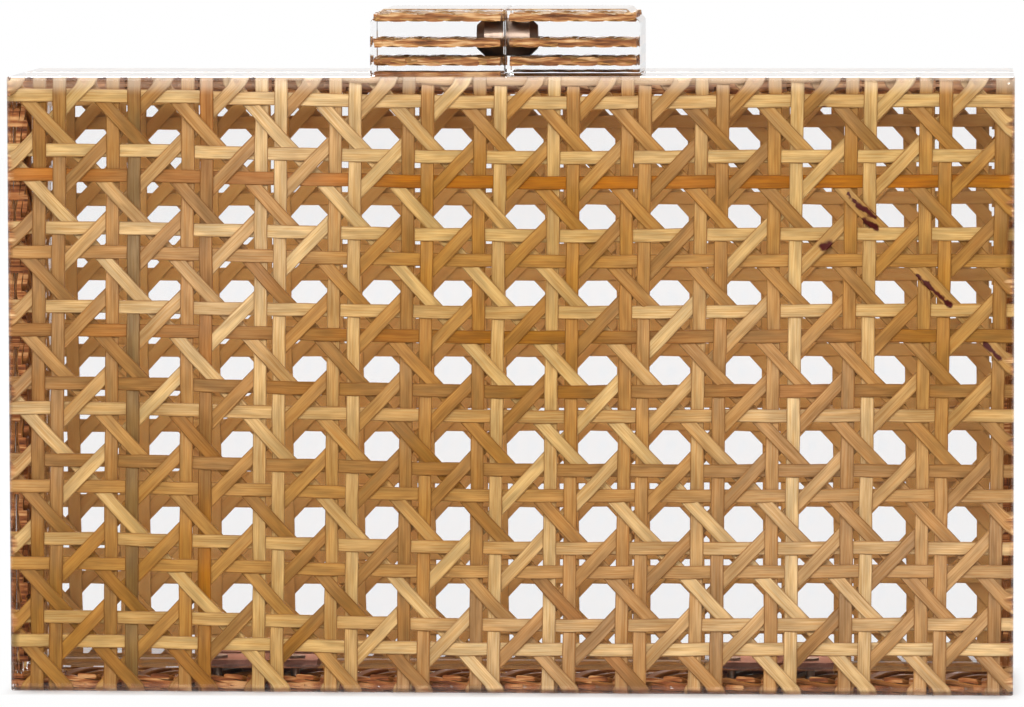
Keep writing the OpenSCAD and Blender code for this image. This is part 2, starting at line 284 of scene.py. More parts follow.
# Materials
def clear_acrylic(marks):
    """Clear cast sheet with a faint lilac cast, painted shade along its lowest edge and a hazy rim. It lets
    the lamps reach the cane inside it."""
    material, tree, output = new_material("clear_acrylic")
    worn = add_marks(tree, marks, *SHEET_ROUGH)
    place = put(tree, "ShaderNodeTexCoord").outputs["Object"]
    cloud = noise_of(tree, place, SHEET_SCALE).outputs["Fac"]
    tint = blend_of(tree, cloud, *SHEET_TINTS)
    x, y, z = put(tree, "ShaderNodeSeparateXYZ", {0: place}).outputs
    # Painted shade: the sheet is darkened towards its lowest edge
    low_edge = spread_of(tree, z, LOW_SHADE_H / 2, LOW_SHADE_H, LOW_SHADE_SHARE, 0.0)
    low_shaded = blend_of(tree, low_edge, tint, LOW_SHADE)
    past_side = sum_of(tree, "SUBTRACT", sum_of(tree, "ABSOLUTE", x), CASE_W / 2)
    past_top = sum_of(tree, "SUBTRACT", z, CASE_H)
    past_face = sum_of(tree, "SUBTRACT", sum_of(tree, "ABSOLUTE", y), HALF_D)
    near_rim = spread_of(tree, sum_of(tree, "MAXIMUM", past_side, past_top), -EDGE_ROUND, 0.0)
    on_face = spread_of(tree, past_face, -EDGE_ROUND, 0.0)
    on_case = sum_of(tree, "LESS_THAN", past_top, NEAR)
    haze = sum_of(tree, "MULTIPLY", sum_of(tree, "MULTIPLY", near_rim, on_face), on_case)
    hazy = sum_of(tree, "MULTIPLY_ADD", haze, RIM_HAZE, worn.outputs["Roughness"])
    sheet = put(tree, "ShaderNodeBsdfPrincipled", {"Base Color": low_shaded, "Roughness": hazy})
    sheet.inputs["IOR"].default_value = SHEET_IOR
    sheet.inputs["Metallic"].default_value = 0.0
    sheet.inputs["Transmission Weight"].default_value = 1.0
    passing = put(tree, "ShaderNodeBsdfTransparent", {"Color": SHEET_SHADOW})
    path = put(tree, "ShaderNodeLightPath")
    share = sum_of(tree, "MAXIMUM", path.outputs["Is Shadow Ray"], path.outputs["Is Diffuse Ray"])
    joined = put(tree, "ShaderNodeMixShader", {0: share, 1: sheet.outputs[0], 2: passing.outputs[0]})
    tree.links.new(joined.outputs[0], output.inputs["Surface"])
    return material


def split_cane_group():
    """Colour, roughness and fibre height of split cane, read from each strand's own values. The cane is
    painted paler along the case's top, a painted highlight."""
    tree = bpy.data.node_groups.new("split cane", "ShaderNodeTree")
    face = tree.interface
    face.new_socket("Pith", in_out="INPUT", socket_type="NodeSocketFloat")
    face.new_socket("Dim", in_out="INPUT", socket_type="NodeSocketColor")
    face.new_socket("Colour", in_out="OUTPUT", socket_type="NodeSocketColor")
    face.new_socket("Roughness", in_out="OUTPUT", socket_type="NodeSocketFloat")
    face.new_socket("Height", in_out="OUTPUT", socket_type="NodeSocketFloat")
    entry = put(tree, "NodeGroupInput")
    tone = named_value(tree, "tone")
    along = named_value(tree, "along")
    across = named_value(tree, "across")
    side = named_value(tree, "side")
    own = sum_of(tree, "MULTIPLY", tone, TONE_MIX)
    long_run = sum_of(tree, "MULTIPLY", along, DRIFT_SCALE)
    drift_place = put(tree, "ShaderNodeCombineXYZ", {"X": long_run, "Z": own}).outputs[0]
    drift = noise_of(tree, drift_place, 1.0, 1.0).outputs["Fac"]
    shifted = sum_of(tree, "MULTIPLY_ADD", sum_of(tree, "SUBTRACT", drift, 0.5), DRIFT_SHARE, tone)
    body = colour_steps(tree, shifted, [
        (0.0, srgb(216, 182, 126)),
        (0.13, srgb(200, 162, 108)),
        (0.3, srgb(186, 143, 87)),
        (0.45, srgb(180, 133, 75)),
        (0.58, srgb(168, 127, 78)),
        (0.72, srgb(154, 111, 58)),
        (0.86, srgb(180, 114, 44)),
        (1.0, srgb(138, 108, 66)),
    ])
    place = put(tree, "ShaderNodeTexCoord").outputs["Object"]
    age = noise_of(tree, place, AGE_SCALE, 1.0).outputs["Fac"]
    spots_run = sum_of(tree, "MULTIPLY", along, SPOT_SCALE)
    spots_place = put(tree, "ShaderNodeCombineXYZ", {"X": spots_run, "Y": across, "Z": own}).outputs[0]
    spots = noise_of(tree, spots_place, 1.0, 2.0).outputs["Fac"]
    aged = spread_of(tree, age, 0.3, 0.7, 0.79, 0.96)
    faded = spread_of(tree, age, 0.3, 0.7, 1.1, 0.92)
    dappled = spread_of(tree, spots, 0.25, 0.75, 0.74, 1.16)
    shade = sum_of(tree, "MULTIPLY", aged, dappled)
    toned = put(tree, "ShaderNodeHueSaturation", {
        "Saturation": faded,
        "Value": shade,
        "Color": body,
    }).outputs[0]
    run = sum_of(tree, "MULTIPLY", along, GRAIN_SCALE[0])
    lane = sum_of(tree, "MULTIPLY", across, GRAIN_SCALE[1])
    grain_place = put(tree, "ShaderNodeCombineXYZ", {"X": run, "Y": lane, "Z": own}).outputs[0]
    grain = noise_of(tree, grain_place, 1.0, 2.0, 0.6).outputs["Fac"]
    fibre = spread_of(tree, grain, 0.34, 0.6)
    dark = blend_of(tree, 1.0, toned, FIBRE_DARK, "MULTIPLY")
    fibred = blend_of(tree, fibre, dark, toned)
    # Painted shade: each strand darkened along its edges
    edge = spread_of(tree, sum_of(tree, "ABSOLUTE", across), 0.8, 1.0)
    edge_share = sum_of(tree, "MULTIPLY", edge, EDGE_SHARE)
    edge_shaded = blend_of(tree, edge_share, fibred, STRAND_EDGE_SHADE)
    inner = spread_of(tree, side, 0.0, 0.9)
    pith_share = sum_of(tree, "MULTIPLY", inner, entry.outputs["Pith"])
    pith = blend_of(tree, spots, *PITH_COLOURS)
    whole = blend_of(tree, pith_share, edge_shaded, pith)
    drawn = put(tree, "ShaderNodeMapping", {"Vector": place, "Scale": END_SCALE}).outputs["Vector"]
    torn = noise_of(tree, drawn, 1.0, 2.0, 0.65).outputs["Fac"]
    fibres = colour_steps(tree, torn, [
        (0.34, srgb(84, 44, 24)),
        (0.46, srgb(142, 86, 48)),
        (0.55, srgb(182, 126, 76)),
        (0.66, srgb(226, 188, 138)),
    ])
    end_share = spread_of(tree, named_value(tree, "cut_end"), 0.3, 0.95, 0.0, 0.9)
    ended = blend_of(tree, end_share, whole, fibres)
    # Painted shade: the Dim colour darkens the cane of the walls
    dimmed = blend_of(tree, 1.0, ended, entry.outputs["Dim"], "MULTIPLY")
    height = put(tree, "ShaderNodeSeparateXYZ", {0: place}).outputs["Z"]
    in_case = sum_of(tree, "LESS_THAN", height, CASE_H)
    # Painted highlight: paler cane towards the case's top
    near_top = spread_of(tree, height, CASE_H - TOP_HIGHLIGHT_H, CASE_H, 0.0, TOP_HIGHLIGHT_SHARE)
    top_highlight_share = sum_of(tree, "MULTIPLY", near_top, in_case)
    colour = blend_of(tree, top_highlight_share, dimmed, TOP_HIGHLIGHT)
    rough = spread_of(tree, grain, 0.3, 0.7, 0.55, 0.4)
    put(tree, "NodeGroupOutput", {"Colour": colour, "Roughness": rough, "Height": grain})
    return tree


def water_mark_group():
    """Mask of one dark mark along a line, seen from the front."""
    tree = bpy.data.node_groups.new("water mark", "ShaderNodeTree")
    face = tree.interface
    face.new_socket("Start", in_out="INPUT", socket_type="NodeSocketVector")
    face.new_socket("Run", in_out="INPUT", socket_type="NodeSocketVector")
    face.new_socket("Width", in_out="INPUT", socket_type="NodeSocketFloat")
    face.new_socket("Ragged", in_out="INPUT", socket_type="NodeSocketFloat")
    face.new_socket("Mask", in_out="OUTPUT", socket_type="NodeSocketFloat")
    entry = put(tree, "NodeGroupInput").outputs
    place = put(tree, "ShaderNodeTexCoord").outputs["Object"]
    flat = vector_of(tree, "MULTIPLY", place, (1, 0, 1))
    off = vector_of(tree, "SUBTRACT", flat, entry["Start"])
    reach = sum_of(tree, "DIVIDE", vector_of(tree, "DOT_PRODUCT", off, entry["Run"]),
                   vector_of(tree, "DOT_PRODUCT", entry["Run"], entry["Run"]))
    held = put(tree, "ShaderNodeClamp", {"Value": reach}).outputs[0]
    step = put(tree, "ShaderNodeVectorMath", {0: entry["Run"], "Scale": held}, operation="SCALE").outputs[0]
    gap = vector_of(tree, "DISTANCE", off, step)
    uneven = sum_of(tree, "ADD", entry["Ragged"], gap)
    inner = sum_of(tree, "MULTIPLY", entry["Width"], MARK_CORE)
    mask = put(tree, "ShaderNodeMapRange", {
        "Value": uneven,
        "From Min": inner,
        "From Max": entry["Width"],
        "To Min": 1.0,
        "To Max": 0.0,
    }, interpolation_type="SMOOTHSTEP").outputs["Result"]
    put(tree, "NodeGroupOutput", {"Mask": mask})
    return tree


def woven_cane(name, split_cane, pith, through, dim=(1, 1, 1, 1), marks=()):
    """Split cane with a low sheen that lets a little light through. dim is painted shade that darkens the
    cane laid in the walls, and the front web also carries a few dark water marks."""
    material, tree, output = new_material(name)
    strand = put(tree, "ShaderNodeGroup", node_tree=split_cane)
    strand.inputs["Pith"].default_value = pith
    strand.inputs["Dim"].default_value = dim
    colour = strand.outputs["Colour"]
    if marks:
        scale, least, most = MARK_RAGGED
        place = put(tree, "ShaderNodeTexCoord").outputs["Object"]
        uneven = noise_of(tree, place, scale).outputs["Fac"]
        ragged = spread_of(tree, uneven, 0.0, 1.0, least, most, False)
    for start, run, width in marks:
        mark = put(tree, "ShaderNodeGroup", node_tree=WATER_MARK)
        mark.inputs["Start"].default_value = (start[0] * MM, 0, start[1] * MM)
        mark.inputs["Run"].default_value = (run[0] * MM, 0, run[1] * MM)
        mark.inputs["Width"].default_value = width * MM
        tree.links.new(ragged, mark.inputs["Ragged"])
        colour = blend_of(tree, mark.outputs["Mask"], colour, MARK_COLOUR)
    bump = put(tree, "ShaderNodeBump", {
        "Height": strand.outputs["Height"],
        "Strength": GRAIN_BUMP[0],
        "Distance": GRAIN_BUMP[1],
    })
    cane = put(tree, "ShaderNodeBsdfPrincipled", {
        "Base Color": colour,
        "Roughness": strand.outputs["Roughness"],
        "Normal": bump.outputs["Normal"],
    })
    cane.inputs["Specular IOR Level"].default_value = CANE_SHEEN
    lit_through = blend_of(tree, 1.0, colour, THROUGH_TINT, "MULTIPLY")
    glow = put(tree, "ShaderNodeBsdfTranslucent", {"Color": lit_through})
    joined = put(tree, "ShaderNodeMixShader", {0: through, 1: cane.outputs[0], 2: glow.outputs[0]})
    tree.links.new(joined.outputs[0], output.inputs["Surface"])
    return material


def plated_metal(name, marks, light, dark, smooth, rubbed):
    """Plated metal with slightly uneven colour and rubbed patches."""
    material, tree, output = new_material(name)
    worn = add_marks(tree, marks, smooth, rubbed)
    place = put(tree, "ShaderNodeTexCoord").outputs["Object"]
    cloud = noise_of(tree, place, PLATE_SCALE, 4.0).outputs["Fac"]
    colour = blend_of(tree, cloud, light, dark)
    bump = put(tree, "ShaderNodeBump", {
        "Height": worn.outputs["Height"],
        "Strength": PLATE_BUMP[0],
        "Distance": PLATE_BUMP[1],
    })
    metal = put(tree, "ShaderNodeBsdfPrincipled", {
        "Base Color": colour,
        "Roughness": worn.outputs["Roughness"],
        "Normal": bump.outputs["Normal"],
    })
    metal.inputs["Metallic"].default_value = 1.0
    metal.inputs["Specular Tint"].default_value = PLATE_TINT
    tree.links.new(metal.outputs[0], output.inputs["Surface"])
    return material


MARKS = marks_group()
ACRYLIC = clear_acrylic(MARKS)
WATER_MARK = water_mark_group()
SPLIT_CANE = split_cane_group()
# Marks on the front web, in millimetres: where each starts, its run, both in x and z, and its width
WATER_MARKS = [
    ((59.9, 88.6), (1.6, -2.0), 0.4),
    ((61.5, 86.7), (3.0, -2.1), 0.55),
    ((62.6, 83.9), (2.1, -1.2), 0.7),
    ((55.5, 79.3), (0.9, 0.4), 1.1),
    ((72.0, 74.3), (5.7, -5.3), 0.55),
    ((83.9, 62.3), (2.5, -2.6), 0.55),
    ((56.1, 89.5), (1.7, -1.8), 0.3),
    ((55.5, 103.8), (0.2, -3.2), 0.7),
]
CANE = woven_cane("woven_cane", SPLIT_CANE, pith=0.9, through=0.1)
MARKED_CANE = woven_cane("marked_cane", SPLIT_CANE, pith=0.8, through=0.05, marks=WATER_MARKS)
# The walls' cane is darkened by painted shade through dim
WALL_CANE = woven_cane("wall_cane", SPLIT_CANE, pith=0.25, through=0.08, dim=srgb(230, 208, 188))
NICKEL = plated_metal(
    "nickel_plate", MARKS, light=srgb(176, 158, 142), dark=srgb(132, 112, 98), smooth=0.42, rubbed=0.58
)
# The hinge is plain steel; its brown-mauve colours are a painted reflection of the cane around the leaves
STEEL = plated_metal(
    "hinge_steel", MARKS, light=srgb(156, 110, 94), dark=srgb(112, 78, 64), smooth=0.45, rubbed=0.6
)


# Helpers for pieces
def new_piece(name, mesh):
    """An object for a mesh, linked to the scene."""
    piece = bpy.data.objects.new(name, mesh)
    bpy.context.scene.collection.objects.link(piece)
    return piece


def mesh_from(builder, name):
    """A mesh from a bmesh, with its faces turned outwards."""
    bmesh.ops.recalc_face_normals(builder, faces=builder.faces)
    mesh = bpy.data.meshes.new(name)
    builder.to_mesh(mesh)
    builder.free()
    return mesh


def settle(piece):
    """Turns a piece's modifiers into plain mesh."""
    graph = bpy.context.evaluated_depsgraph_get()
    graph.update()
    plain = bpy.data.meshes.new_from_object(piece.evaluated_get(graph))
    piece.modifiers.clear()
    piece.data = plain
    return piece


def carve(piece, cutter):
    """Takes a cutter's volume out of a piece and drops the cutter."""
    cut = piece.modifiers.new("carve", "BOOLEAN")
    cut.operation = "DIFFERENCE"
    cut.solver = "EXACT"
    cut.object = cutter
    settle(piece)
    bpy.data.objects.remove(cutter)
    return piece


def dress(piece, material):
    """Gives a piece its only material."""
    piece.data.materials.clear()
    piece.data.materials.append(material)
    return piece


def block_mesh(name, low, high):
    """A closed block between two corners."""
    builder = bmesh.new()
    bmesh.ops.create_cube(builder, size=1.0)
    for vertex in builder.verts:
        vertex.co = Vector(l + (h - l) * (c + 0.5) for l, h, c in zip(low, high, vertex.co))
    return mesh_from(builder, name)


def rod_mesh(name, start, length, radius, sides=48):
    """A closed rod along X."""
    builder = bmesh.new()
    turn = Matrix.Rotation(math.pi / 2, 4, "Y")
    middle = Matrix.Translation(start + Vector((length / 2, 0, 0)))
    bmesh.ops.create_cone(
        builder,
        cap_ends=True,
        segments=sides,
        radius1=radius,
        radius2=radius,
        depth=length,
        matrix=middle @ turn,
    )
    return mesh_from(builder, name)


# Clear case halves
def clear_half(name, way):
    """Outer sheet, inner sheet and walls of one half, welded into one tray. way is -1 in front and 1
    behind."""
    builder = bmesh.new()
    weight = builder.edges.layers.float.new("bevel_weight_edge")
    half_w = CASE_W / 2
    inner_w = half_w - WALL_T
    inner_h = CASE_H - WALL_T
    profile = [
        (HALF_D, 0.0),
        (HALF_D, CASE_H),
        (SEAM_Y, CASE_H),
        (SEAM_Y, AXIS_Z),
        (SEAM_Y + AXIS_Z, 0.0),
    ]
    sides = [[builder.verts.new((x, way * y, z)) for y, z in profile] for x in (-half_w, half_w)]
    corners = [(-inner_w, WALL_T), (inner_w, WALL_T), (inner_w, inner_h), (-inner_w, inner_h)]
    deep = [builder.verts.new((x, way * INNER_Y, z)) for x, z in corners]
    rim = [builder.verts.new((x, way * SEAM_Y, z)) for x, z in corners]
    left, right = sides
    builder.faces.new(left)
    builder.faces.new(right)
    for a, b in ((0, 1), (1, 2), (3, 4), (4, 0)):
        builder.faces.new((left[a], left[b], right[b], right[a]))
    builder.faces.new(deep)
    for a in range(4):
        b = (a + 1) % 4
        builder.faces.new((deep[a], deep[b], rim[b], rim[a]))
    outer = [left[3], right[3], right[2], left[2]]
    for a in range(4):
        b = (a + 1) % 4
        builder.faces.new((outer[a], outer[b], rim[b], rim[a]))
    inner_verts = set(deep) | set(rim)
    for edge in builder.edges:
        if inner_verts & set(edge.verts):
            continue
        at_face = all(abs(abs(v.co.y) - HALF_D) < NEAR for v in edge.verts)
        edge[weight] = 1.0 if at_face else SMALL_EDGE_SHARE
    piece = new_piece(name, mesh_from(builder, name))
    soften = piece.modifiers.new("soften", "BEVEL")
    soften.limit_method = "WEIGHT"
    soften.width = EDGE_ROUND
    soften.segments = EDGE_STEPS
    settle(piece)
    room = HINGE_W / 2 + BARREL_FIT
    for x in (-HINGE_X, HINGE_X):
        ends = sorted((way * (BARREL_R + TONGUE_FIT), -way * MM))
        notch = block_mesh("notch", (x - room, ends[0], AXIS_Z), (x + room, ends[1], WALL_T + MM))
        carve(piece, new_piece("notch", notch))
        barrel = rod_mesh("barrel", Vector((x - room, 0, AXIS_Z)), 2 * room, BARREL_R + BARREL_FIT)
        carve(piece, new_piece("barrel", barrel))
    return dress(piece, ACRYLIC)


# Woven cane
def strand_tree():
    """Runs a flat strand through every point, waves it over and under, and trims it to the web."""
    tree = bpy.data.node_groups.new("cane strands", "GeometryNodeTree")
    face = tree.interface
    wanted = [
        ("Geometry", "NodeSocketGeometry"),
        ("Reach", "NodeSocketFloat"),
        ("Step", "NodeSocketFloat"),
        ("Width", "NodeSocketFloat"),
        ("Thickness", "NodeSocketFloat"),
        ("Low", "NodeSocketVector"),
        ("High", "NodeSocketVector"),
        ("Gap Low", "NodeSocketVector"),
        ("Gap High", "NodeSocketVector"),
        ("Wobble", "NodeSocketFloat"),
        ("Material", "NodeSocketMaterial"),
    ]
    for name, kind in wanted:
        face.new_socket(name, in_out="INPUT", socket_type=kind)
    face.new_socket("Geometry", in_out="OUTPUT", socket_type="NodeSocketGeometry")
    entry = put(tree, "NodeGroupInput").outputs

    def stored(name):
        node = put(tree, "GeometryNodeInputNamedAttribute", {"Name": name}, data_type="FLOAT")
        return node.outputs["Attribute"]

    def keep(geometry, name, value):
        wanted = {"Geometry": geometry, "Name": name, "Value": value}
        node = put(tree, "GeometryNodeStoreNamedAttribute", wanted, data_type="FLOAT", domain="POINT")
        return node.outputs[0]

    def flat_parts(vector):
        return put(tree, "ShaderNodeSeparateXYZ", {0: vector}).outputs[:2]

    def squared(value, inner):
        size = spread_of(tree, sum_of(tree, "ABSOLUTE", value), *RING_RANGE, inner, 1.0, False)
        return sum_of(tree, "MULTIPLY", sum_of(tree, "SIGN", value), size)

    far = put(tree, "ShaderNodeCombineXYZ", {"X": entry["Reach"]}).outputs[0]
    near = vector_of(tree, "SCALE", far)
    near.node.inputs["Scale"].default_value = -1.0
    line = put(tree, "GeometryNodeCurvePrimitiveLine", {"Start": near, "End": far}).outputs["Curve"]
    turn = put(tree, "ShaderNodeCombineXYZ", {"Z": stored("heading")}).outputs[0]
    heading = put(tree, "FunctionNodeEulerToRotation", {0: turn}).outputs[0]
    laid = put(tree, "GeometryNodeInstanceOnPoints", {
        "Points": entry["Geometry"],
        "Instance": line,
        "Rotation": heading,
    }).outputs[0]
    loose = put(tree, "GeometryNodeRealizeInstances", {"Geometry": laid}).outputs[0]
    fine = put(tree, "GeometryNodeResampleCurve", {
        "Curve": loose,
        "Length": entry["Step"],
    }, mode="LENGTH").outputs[0]
    place = put(tree, "GeometryNodeInputPosition").outputs[0]
    x, y = flat_parts(place)
    low_x, low_y = flat_parts(entry["Low"])
    high_x, high_y = flat_parts(entry["High"])
    beyond = sum_of(tree, "LESS_THAN", x, low_x)
    for test in (("LESS_THAN", y, low_y), ("GREATER_THAN", x, high_x), ("GREATER_THAN", y, high_y)):
        beyond = sum_of(tree, "MAXIMUM", beyond, sum_of(tree, *test))
    gap_x, gap_y = flat_parts(entry["Gap Low"])
    end_x, end_y = flat_parts(entry["Gap High"])
    within = sum_of(tree, "GREATER_THAN", x, gap_x)
    for test in (("GREATER_THAN", y, gap_y), ("LESS_THAN", x, end_x), ("LESS_THAN", y, end_y)):
        within = sum_of(tree, "MULTIPLY", within, sum_of(tree, *test))
    off = sum_of(tree, "GREATER_THAN", sum_of(tree, "MAXIMUM", beyond, within), 0.5)
    kept = put(tree, "GeometryNodeDeleteGeometry", {
        "Geometry": fine,
        "Selection": off,
    }, domain="POINT").outputs[0]
    length = put(tree, "GeometryNodeSplineParameter").outputs["Length"]
    measured = keep(kept, "along", length)
    turn_x = sum_of(tree, "MULTIPLY", x, stored("wave_x"))
    turn_y = sum_of(tree, "MULTIPLY_ADD", y, stored("wave_y"), turn_x)
    swing = sum_of(tree, "SINE", sum_of(tree, "ADD", turn_y, stored("wave_start")))
    lift = sum_of(tree, "MULTIPLY", swing, stored("wave_height"))
    sway = noise_of(tree, place, SWAY_SCALE, 2.0).outputs["Color"]
    centred = vector_of(tree, "SUBTRACT", sway, (0.5, 0.5, 0.5))
    scaled = vector_of(tree, "SCALE", centred)
    tree.links.new(entry["Wobble"], scaled.node.inputs["Scale"])
    sway_x, sway_y = flat_parts(scaled)
    move = put(tree, "ShaderNodeCombineXYZ", {"X": sway_x, "Y": sway_y, "Z": lift}).outputs[0]
    waved = put(tree, "GeometryNodeSetPosition", {"Geometry": measured, "Offset": move}).outputs[0]
    level = put(tree, "GeometryNodeSetCurveNormal", {"Curve": waved}, mode="Z_UP").outputs[0]
    sized = put(tree, "GeometryNodeSetCurveRadius", {"Curve": level, "Radius": stored("girth")}).outputs[0]
    ring = put(tree, "GeometryNodeCurvePrimitiveCircle", {
        "Resolution": STRAND_SIDES,
        "Radius": 1.0,
    }).outputs["Curve"]
    ring_turn = put(tree, "GeometryNodeTransform", {
        "Geometry": ring,
        "Rotation": (0, 0, math.pi / STRAND_SIDES),
    }).outputs[0]
    ring_x, ring_y = flat_parts(place)
    wide = squared(ring_x, RING_WIDE)
    tall = squared(ring_y, RING_TALL)
    sided = keep(keep(ring_turn, "across", wide), "side", tall)
    flat_x = sum_of(tree, "MULTIPLY", wide, sum_of(tree, "MULTIPLY", entry["Width"], 0.5))
    flat_y = sum_of(tree, "MULTIPLY", tall, sum_of(tree, "MULTIPLY", entry["Thickness"], 0.5))
    flat = put(tree, "ShaderNodeCombineXYZ", {"X": flat_x, "Y": flat_y}).outputs[0]
    profile = put(tree, "GeometryNodeSetPosition", {"Geometry": sided, "Position": flat}).outputs[0]
    swept = put(tree, "GeometryNodeCurveToMesh", {
        "Curve": sized,
        "Profile Curve": profile,
        "Fill Caps": True,
    }).outputs[0]
    bend = put(tree, "GeometryNodeInputMeshEdgeAngle").outputs["Unsigned Angle"]
    gentle = sum_of(tree, "LESS_THAN", bend, SHARP_BEND)
    round_faces = put(tree, "GeometryNodeSetShadeSmooth", {"Geometry": swept}).outputs[0]
    smooth = put(tree, "GeometryNodeSetShadeSmooth", {
        "Geometry": round_faces,
        "Shade Smooth": gentle,
    }, domain="EDGE").outputs[0]
    real = put(tree, "GeometryNodeRealizeInstances", {"Geometry": smooth}).outputs[0]
    done = put(tree, "GeometryNodeSetMaterial", {
        "Geometry": real,
        "Material": entry["Material"],
    }).outputs[0]
    put(tree, "NodeGroupOutput", {"Geometry": done})
    return tree


STRAND_TREE = strand_tree()
STRAND_VALUES = ("heading", "wave_x", "wave_y", "wave_start", "wave_height", "tone", "girth")
TONES = (0.02, 0.08, 0.14, 0.2, 0.26, 0.32, 0.38, 0.44, 0.5, 0.56, 0.62, 0.7)
# Tones for the cane in the walls, kept to the darker end of the colours as painted shade
WALL_TONES = (0.42, 0.54, 0.64, 0.74)


def web_strands(hole, low, high, rng, scale, wave_share, tones, uprights=(), levels=()):
    """Every strand of a web: its place, heading, wave, tone and girth. The four families are the
    uprights beside each hole, the levels above and below it and the two slanting sets between."""
    pitch_x = PITCH_X * scale
    pitch_y = PITCH_Z * scale
    turn_x = 2 * math.pi / pitch_x
    turn_y = 2 * math.pi / pitch_y
    first_column = math.floor((low.x - hole[0]) / pitch_x) - 1
    last_column = math.ceil((high.x - hole[0]) / pitch_x) + 1
    first_row = math.floor((low.y - hole[1]) / pitch_y) - 1
    last_row = math.ceil((high.y - hole[1]) / pitch_y) + 1
    columns = range(first_column, last_column + 1)
    rows = range(first_row, last_row + 1)
    middle = (low + high) / 2
    strands = []

    def tone_at(place, chosen):
        for spot, tone in chosen:
            if abs(place - spot) < STRAND_W:
                return tone
        return rng.choice(tones)

    for column in columns:
        for way in (-1, 1):
            x = hole[0] + column * pitch_x + way * STRAND_X * scale + rng.gauss(0, STRAIGHT_JITTER)
            lean = math.pi / 2 + rng.gauss(0, UPRIGHT_LEAN)
            girth = rng.uniform(*GIRTH_SPREAD)
            tone = tone_at(x, uprights)
            wave = -way * STRAIGHT_WAVE * WAVE_H * wave_share
            strands.append((x, middle.y, lean, 0.0, turn_y, -turn_y * hole[1], wave, tone, girth))
    for row in rows:
        for way in (-1, 1):
            y = hole[1] + row * pitch_y + way * STRAND_Z * scale + rng.gauss(0, STRAIGHT_JITTER)
            lean = rng.gauss(0, OTHER_LEAN)
            girth = rng.uniform(*GIRTH_SPREAD)
            tone = tone_at(y, levels)
            wave = way * STRAIGHT_WAVE * WAVE_H * wave_share
            strands.append((middle.x, y, lean, turn_x, 0.0, -turn_x * hole[0], wave, tone, girth))
    slope = math.atan2(PITCH_Z, PITCH_X)
    reach = len(rows) + len(columns)
    for way in (-1, 1):
        for step in range(-reach, reach + 1):
            x = hole[0] + (2 * step + 1) * pitch_x / 2 + rng.gauss(0, SLANT_JITTER)
            lean = way * slope + rng.gauss(0, OTHER_LEAN)
            girth = SLANT_GIRTH * rng.uniform(*SLANT_SPREAD)
            start = math.pi / 2 - turn_x * hole[0]
            wave = way * WAVE_H * wave_share
            strands.append((x, hole[1], lean, turn_x, 0.0, start, wave, rng.choice(tones), girth))
    return strands


def trim(mesh, low, high):
    """Cuts a flat web square along its four edges and closes the strand ends, each at a slightly
    different depth."""
    builder = bmesh.new()
    builder.from_mesh(mesh)
    girth = builder.verts.layers.float["girth"]
    cut_end = builder.verts.layers.float.new("cut_end")
    for corner, out in ((low, (-1, 0, 0)), (low, (0, -1, 0)), (high, (1, 0, 0)), (high, (0, 1, 0))):
        everything = builder.verts[:] + builder.edges[:] + builder.faces[:]
        cut = bmesh.ops.bisect_plane(
            builder, geom=everything, plane_co=corner, plane_no=out, clear_outer=True
        )
        ends = [item for item in cut["geom_cut"] if isinstance(item, bmesh.types.BMEdge)]
        bmesh.ops.edgeloop_fill(builder, edges=ends)
        for vertex in {vertex for edge in ends for vertex in edge.verts}:
            vertex.co -= Vector(out) * END_DEPTH * (vertex[girth] * END_MIX % 1)
            vertex[cut_end] = 1.0
    builder.to_mesh(mesh)
    builder.free()
    return mesh


def pull_askew(mesh, middle, skew, bows):
    """Leans, slopes and bows a flat web, as it comes out when it is stretched by hand."""
    for vertex in mesh.vertices:
        x, y, z = vertex.co
        move = [skew[0] * (y - middle.y), skew[1] * (x - middle.x)]
        for axis, (height, run, start) in enumerate(bows):
            move[axis] += height * math.cos(2 * math.pi * (x - start) / run)
        vertex.co = (x + move[0], y + move[1], z)


def weave_mesh(name, strands, low, high, gap, thickness, material, pull):
    """Runs the strand tree over a list of strands and returns a plain mesh, flat with its outer side
    up."""
    mesh = bpy.data.meshes.new(name)
    mesh.from_pydata([(strand[0], strand[1], 0.0) for strand in strands], [], [])
    for number, key in enumerate(STRAND_VALUES):
        values = mesh.attributes.new(key, "FLOAT", "POINT").data
        values.foreach_set("value", [strand[number + 2] for strand in strands])
    piece = new_piece(name, mesh)
    sweep = piece.modifiers.new("weave", "NODES")
    sweep.node_group = STRAND_TREE
    wanted = {
        "Reach": STRAND_REACH,
        "Step": STRAND_STEP,
        "Width": STRAND_W,
        "Thickness": thickness,
        "Low": low - TRIM,
        "High": high + TRIM,
        "Gap Low": gap[0],
        "Gap High": gap[1],
        "Wobble": STRAND_SWAY,
        "Material": material,
    }
    for item in STRAND_TREE.interface.items_tree:
        if item.in_out == "INPUT" and item.name in wanted:
            sweep[item.identifier] = wanted[item.name]
    settle(piece)
    plain = piece.data
    bpy.data.objects.remove(piece)
    if pull:
        pull_askew(plain, (low + high) / 2, *pull)
    return trim(plain, low, high)


def weave_between(
    name, corners, turn, hole, rng, scale=1.0, chosen=((), ()), gap=None,
    thickness=STRAND_T, wave=1.0, material=None, pull=None, tones=TONES
):
    """A web in the thin space between two corners, with its outer side turned out. chosen names the
    tones of single uprights and levels, gap is left open, and pull draws the web askew."""
    flat = [turn.transposed() @ Vector(corner) for corner in corners]
    low = Vector(min(pair) for pair in zip(*flat))
    high = Vector(max(pair) for pair in zip(*flat))
    strands = web_strands(hole, low, high, rng, scale, wave, tones, *chosen)
    nowhere = (high + Vector((1, 1, 0)), high + Vector((1, 1, 0)))
    mesh = weave_mesh(name, strands, low, high, gap or nowhere, thickness, material or CANE, pull)
    mesh.transform(turn.to_4x4() @ Matrix.Translation((0, 0, (low.z + high.z) / 2)))
    return mesh


